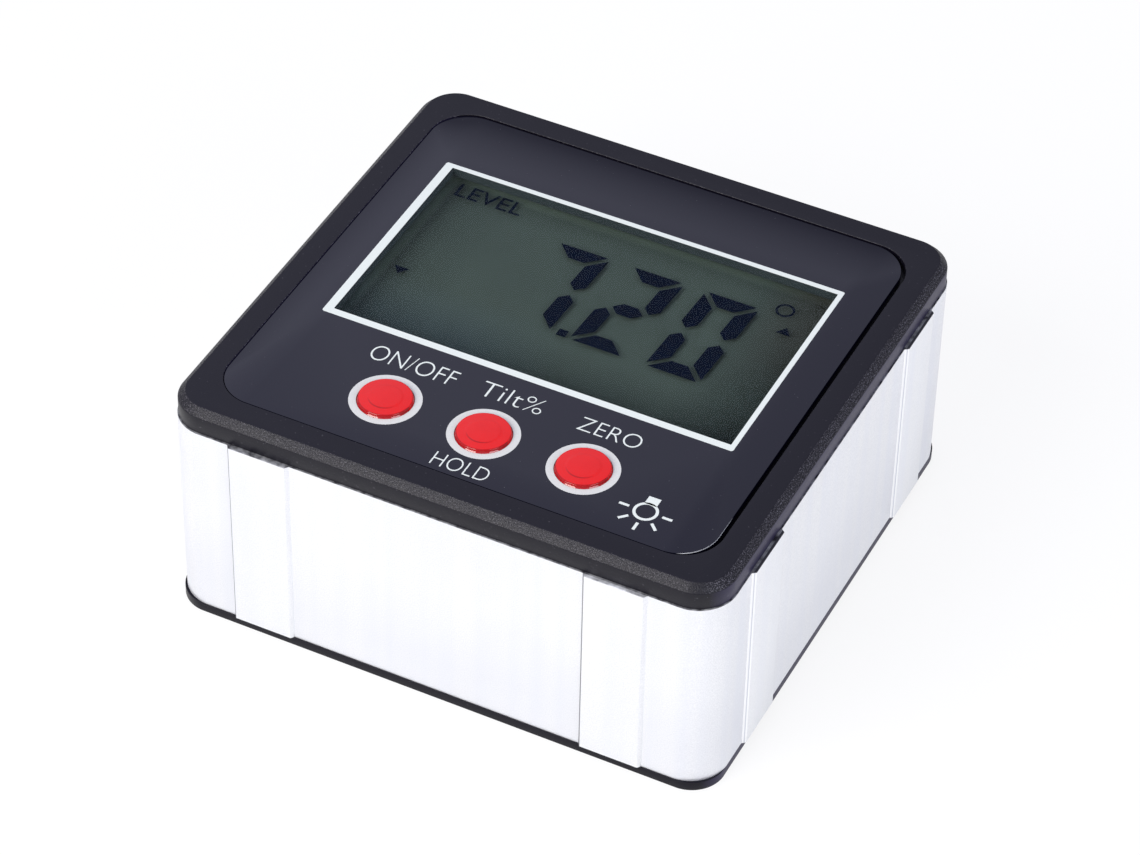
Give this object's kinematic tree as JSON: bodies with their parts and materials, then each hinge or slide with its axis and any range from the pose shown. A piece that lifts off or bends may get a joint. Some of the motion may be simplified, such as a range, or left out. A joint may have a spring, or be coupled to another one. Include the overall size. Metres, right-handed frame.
{
  "type": "inclinometer",
  "caption": "Pocket digital inclinometer: a square aluminium box with contact rails on its sides, a display, red keys and a sliding battery door.",
  "frame": {"origin": "middle of the back cover's outer face, on which the box lies", "axes": "+X to the right of the display, +Y towards its upper edge, +Z out of its face"},
  "size_m": [0.061, 0.0588, 0.0273],
  "materials": {
    "black_abs": "fine-textured black moulding",
    "panel_print": "glossy printed panel",
    "clear_acrylic": "clear polished lens",
    "anodised": "satin anodised extrusion",
    "red_abs": "glossy red moulding",
    "display_glass": "clear display glass",
    "film": "polarising film",
    "milky": "milky light-carrying plastic",
    "adhesive": "double-sided sheet",
    "board": "green circuit board",
    "chip": "black component moulding",
    "silicone": "grey layered silicone",
    "nickel": "bright nickel plating",
    "steel": "zinc-plated steel",
    "cell_jacket": "plain printed jacket",
    "lead_red": "insulated wire",
    "lead_black": "insulated wire"
  },
  "bodies": {
    "housing": {"front_bezel": "black_abs", "face_panel": "panel_print", "panel_adhesive": "adhesive", "display_window": "clear_acrylic", "aluminium_frame": "anodised", "back_cover": "black_abs", "lcd_front_polariser": "film", "lcd_front_glass": "display_glass", "lcd_rear_glass": "display_glass", "lcd_rear_polariser": "film", "backlight_guide": "milky", "backlight_led_near": "milky", "backlight_led_far": "milky", "elastomer_connector": "silicone", "main_board": "board", "power_switch": "chip", "hold_switch": "chip", "zero_switch": "chip", "controller_chip": "chip", "tilt_sensor": "chip", "crystal": "nickel", "capacitor": "nickel", "battery_1": "cell_jacket", "battery_2": "cell_jacket", "contact_bridge": "nickel", "contact_positive": "nickel", "contact_negative": "nickel", "battery_lead_positive": "lead_red", "battery_lead_negative": "lead_black", "cover_screw_1": "steel", "cover_screw_2": "steel", "cover_screw_3": "steel", "cover_screw_4": "steel", "board_screw_1": "steel", "board_screw_2": "steel", "board_screw_3": "steel", "board_screw_4": "steel", "base_magnet_left": "nickel", "base_magnet_right": "nickel"},
    "power_button": {"power_cap": "red_abs", "power_plunger": "milky"},
    "hold_button": {"hold_cap": "red_abs", "hold_plunger": "milky"},
    "zero_button": {"zero_cap": "red_abs", "zero_plunger": "milky"},
    "battery_door": {"battery_door": "black_abs"}
  },
  "joints": [
    {"name": "power_press", "type": "slide", "parent": "housing", "child": "power_button", "axis": [0, 0, -1], "range_m": [0, 0.0003], "stiffness_N_per_m": 300, "springref_m": -0.002},
    {"name": "hold_press", "type": "slide", "parent": "housing", "child": "hold_button", "axis": [0, 0, -1], "range_m": [0, 0.0003], "stiffness_N_per_m": 300, "springref_m": -0.002},
    {"name": "zero_press", "type": "slide", "parent": "housing", "child": "zero_button", "axis": [0, 0, -1], "range_m": [0, 0.0003], "stiffness_N_per_m": 300, "springref_m": -0.002},
    {"name": "door_slide", "type": "slide", "parent": "housing", "child": "battery_door", "axis": [-1, 0, 0], "range_m": [0, 0.05]}
  ]
}
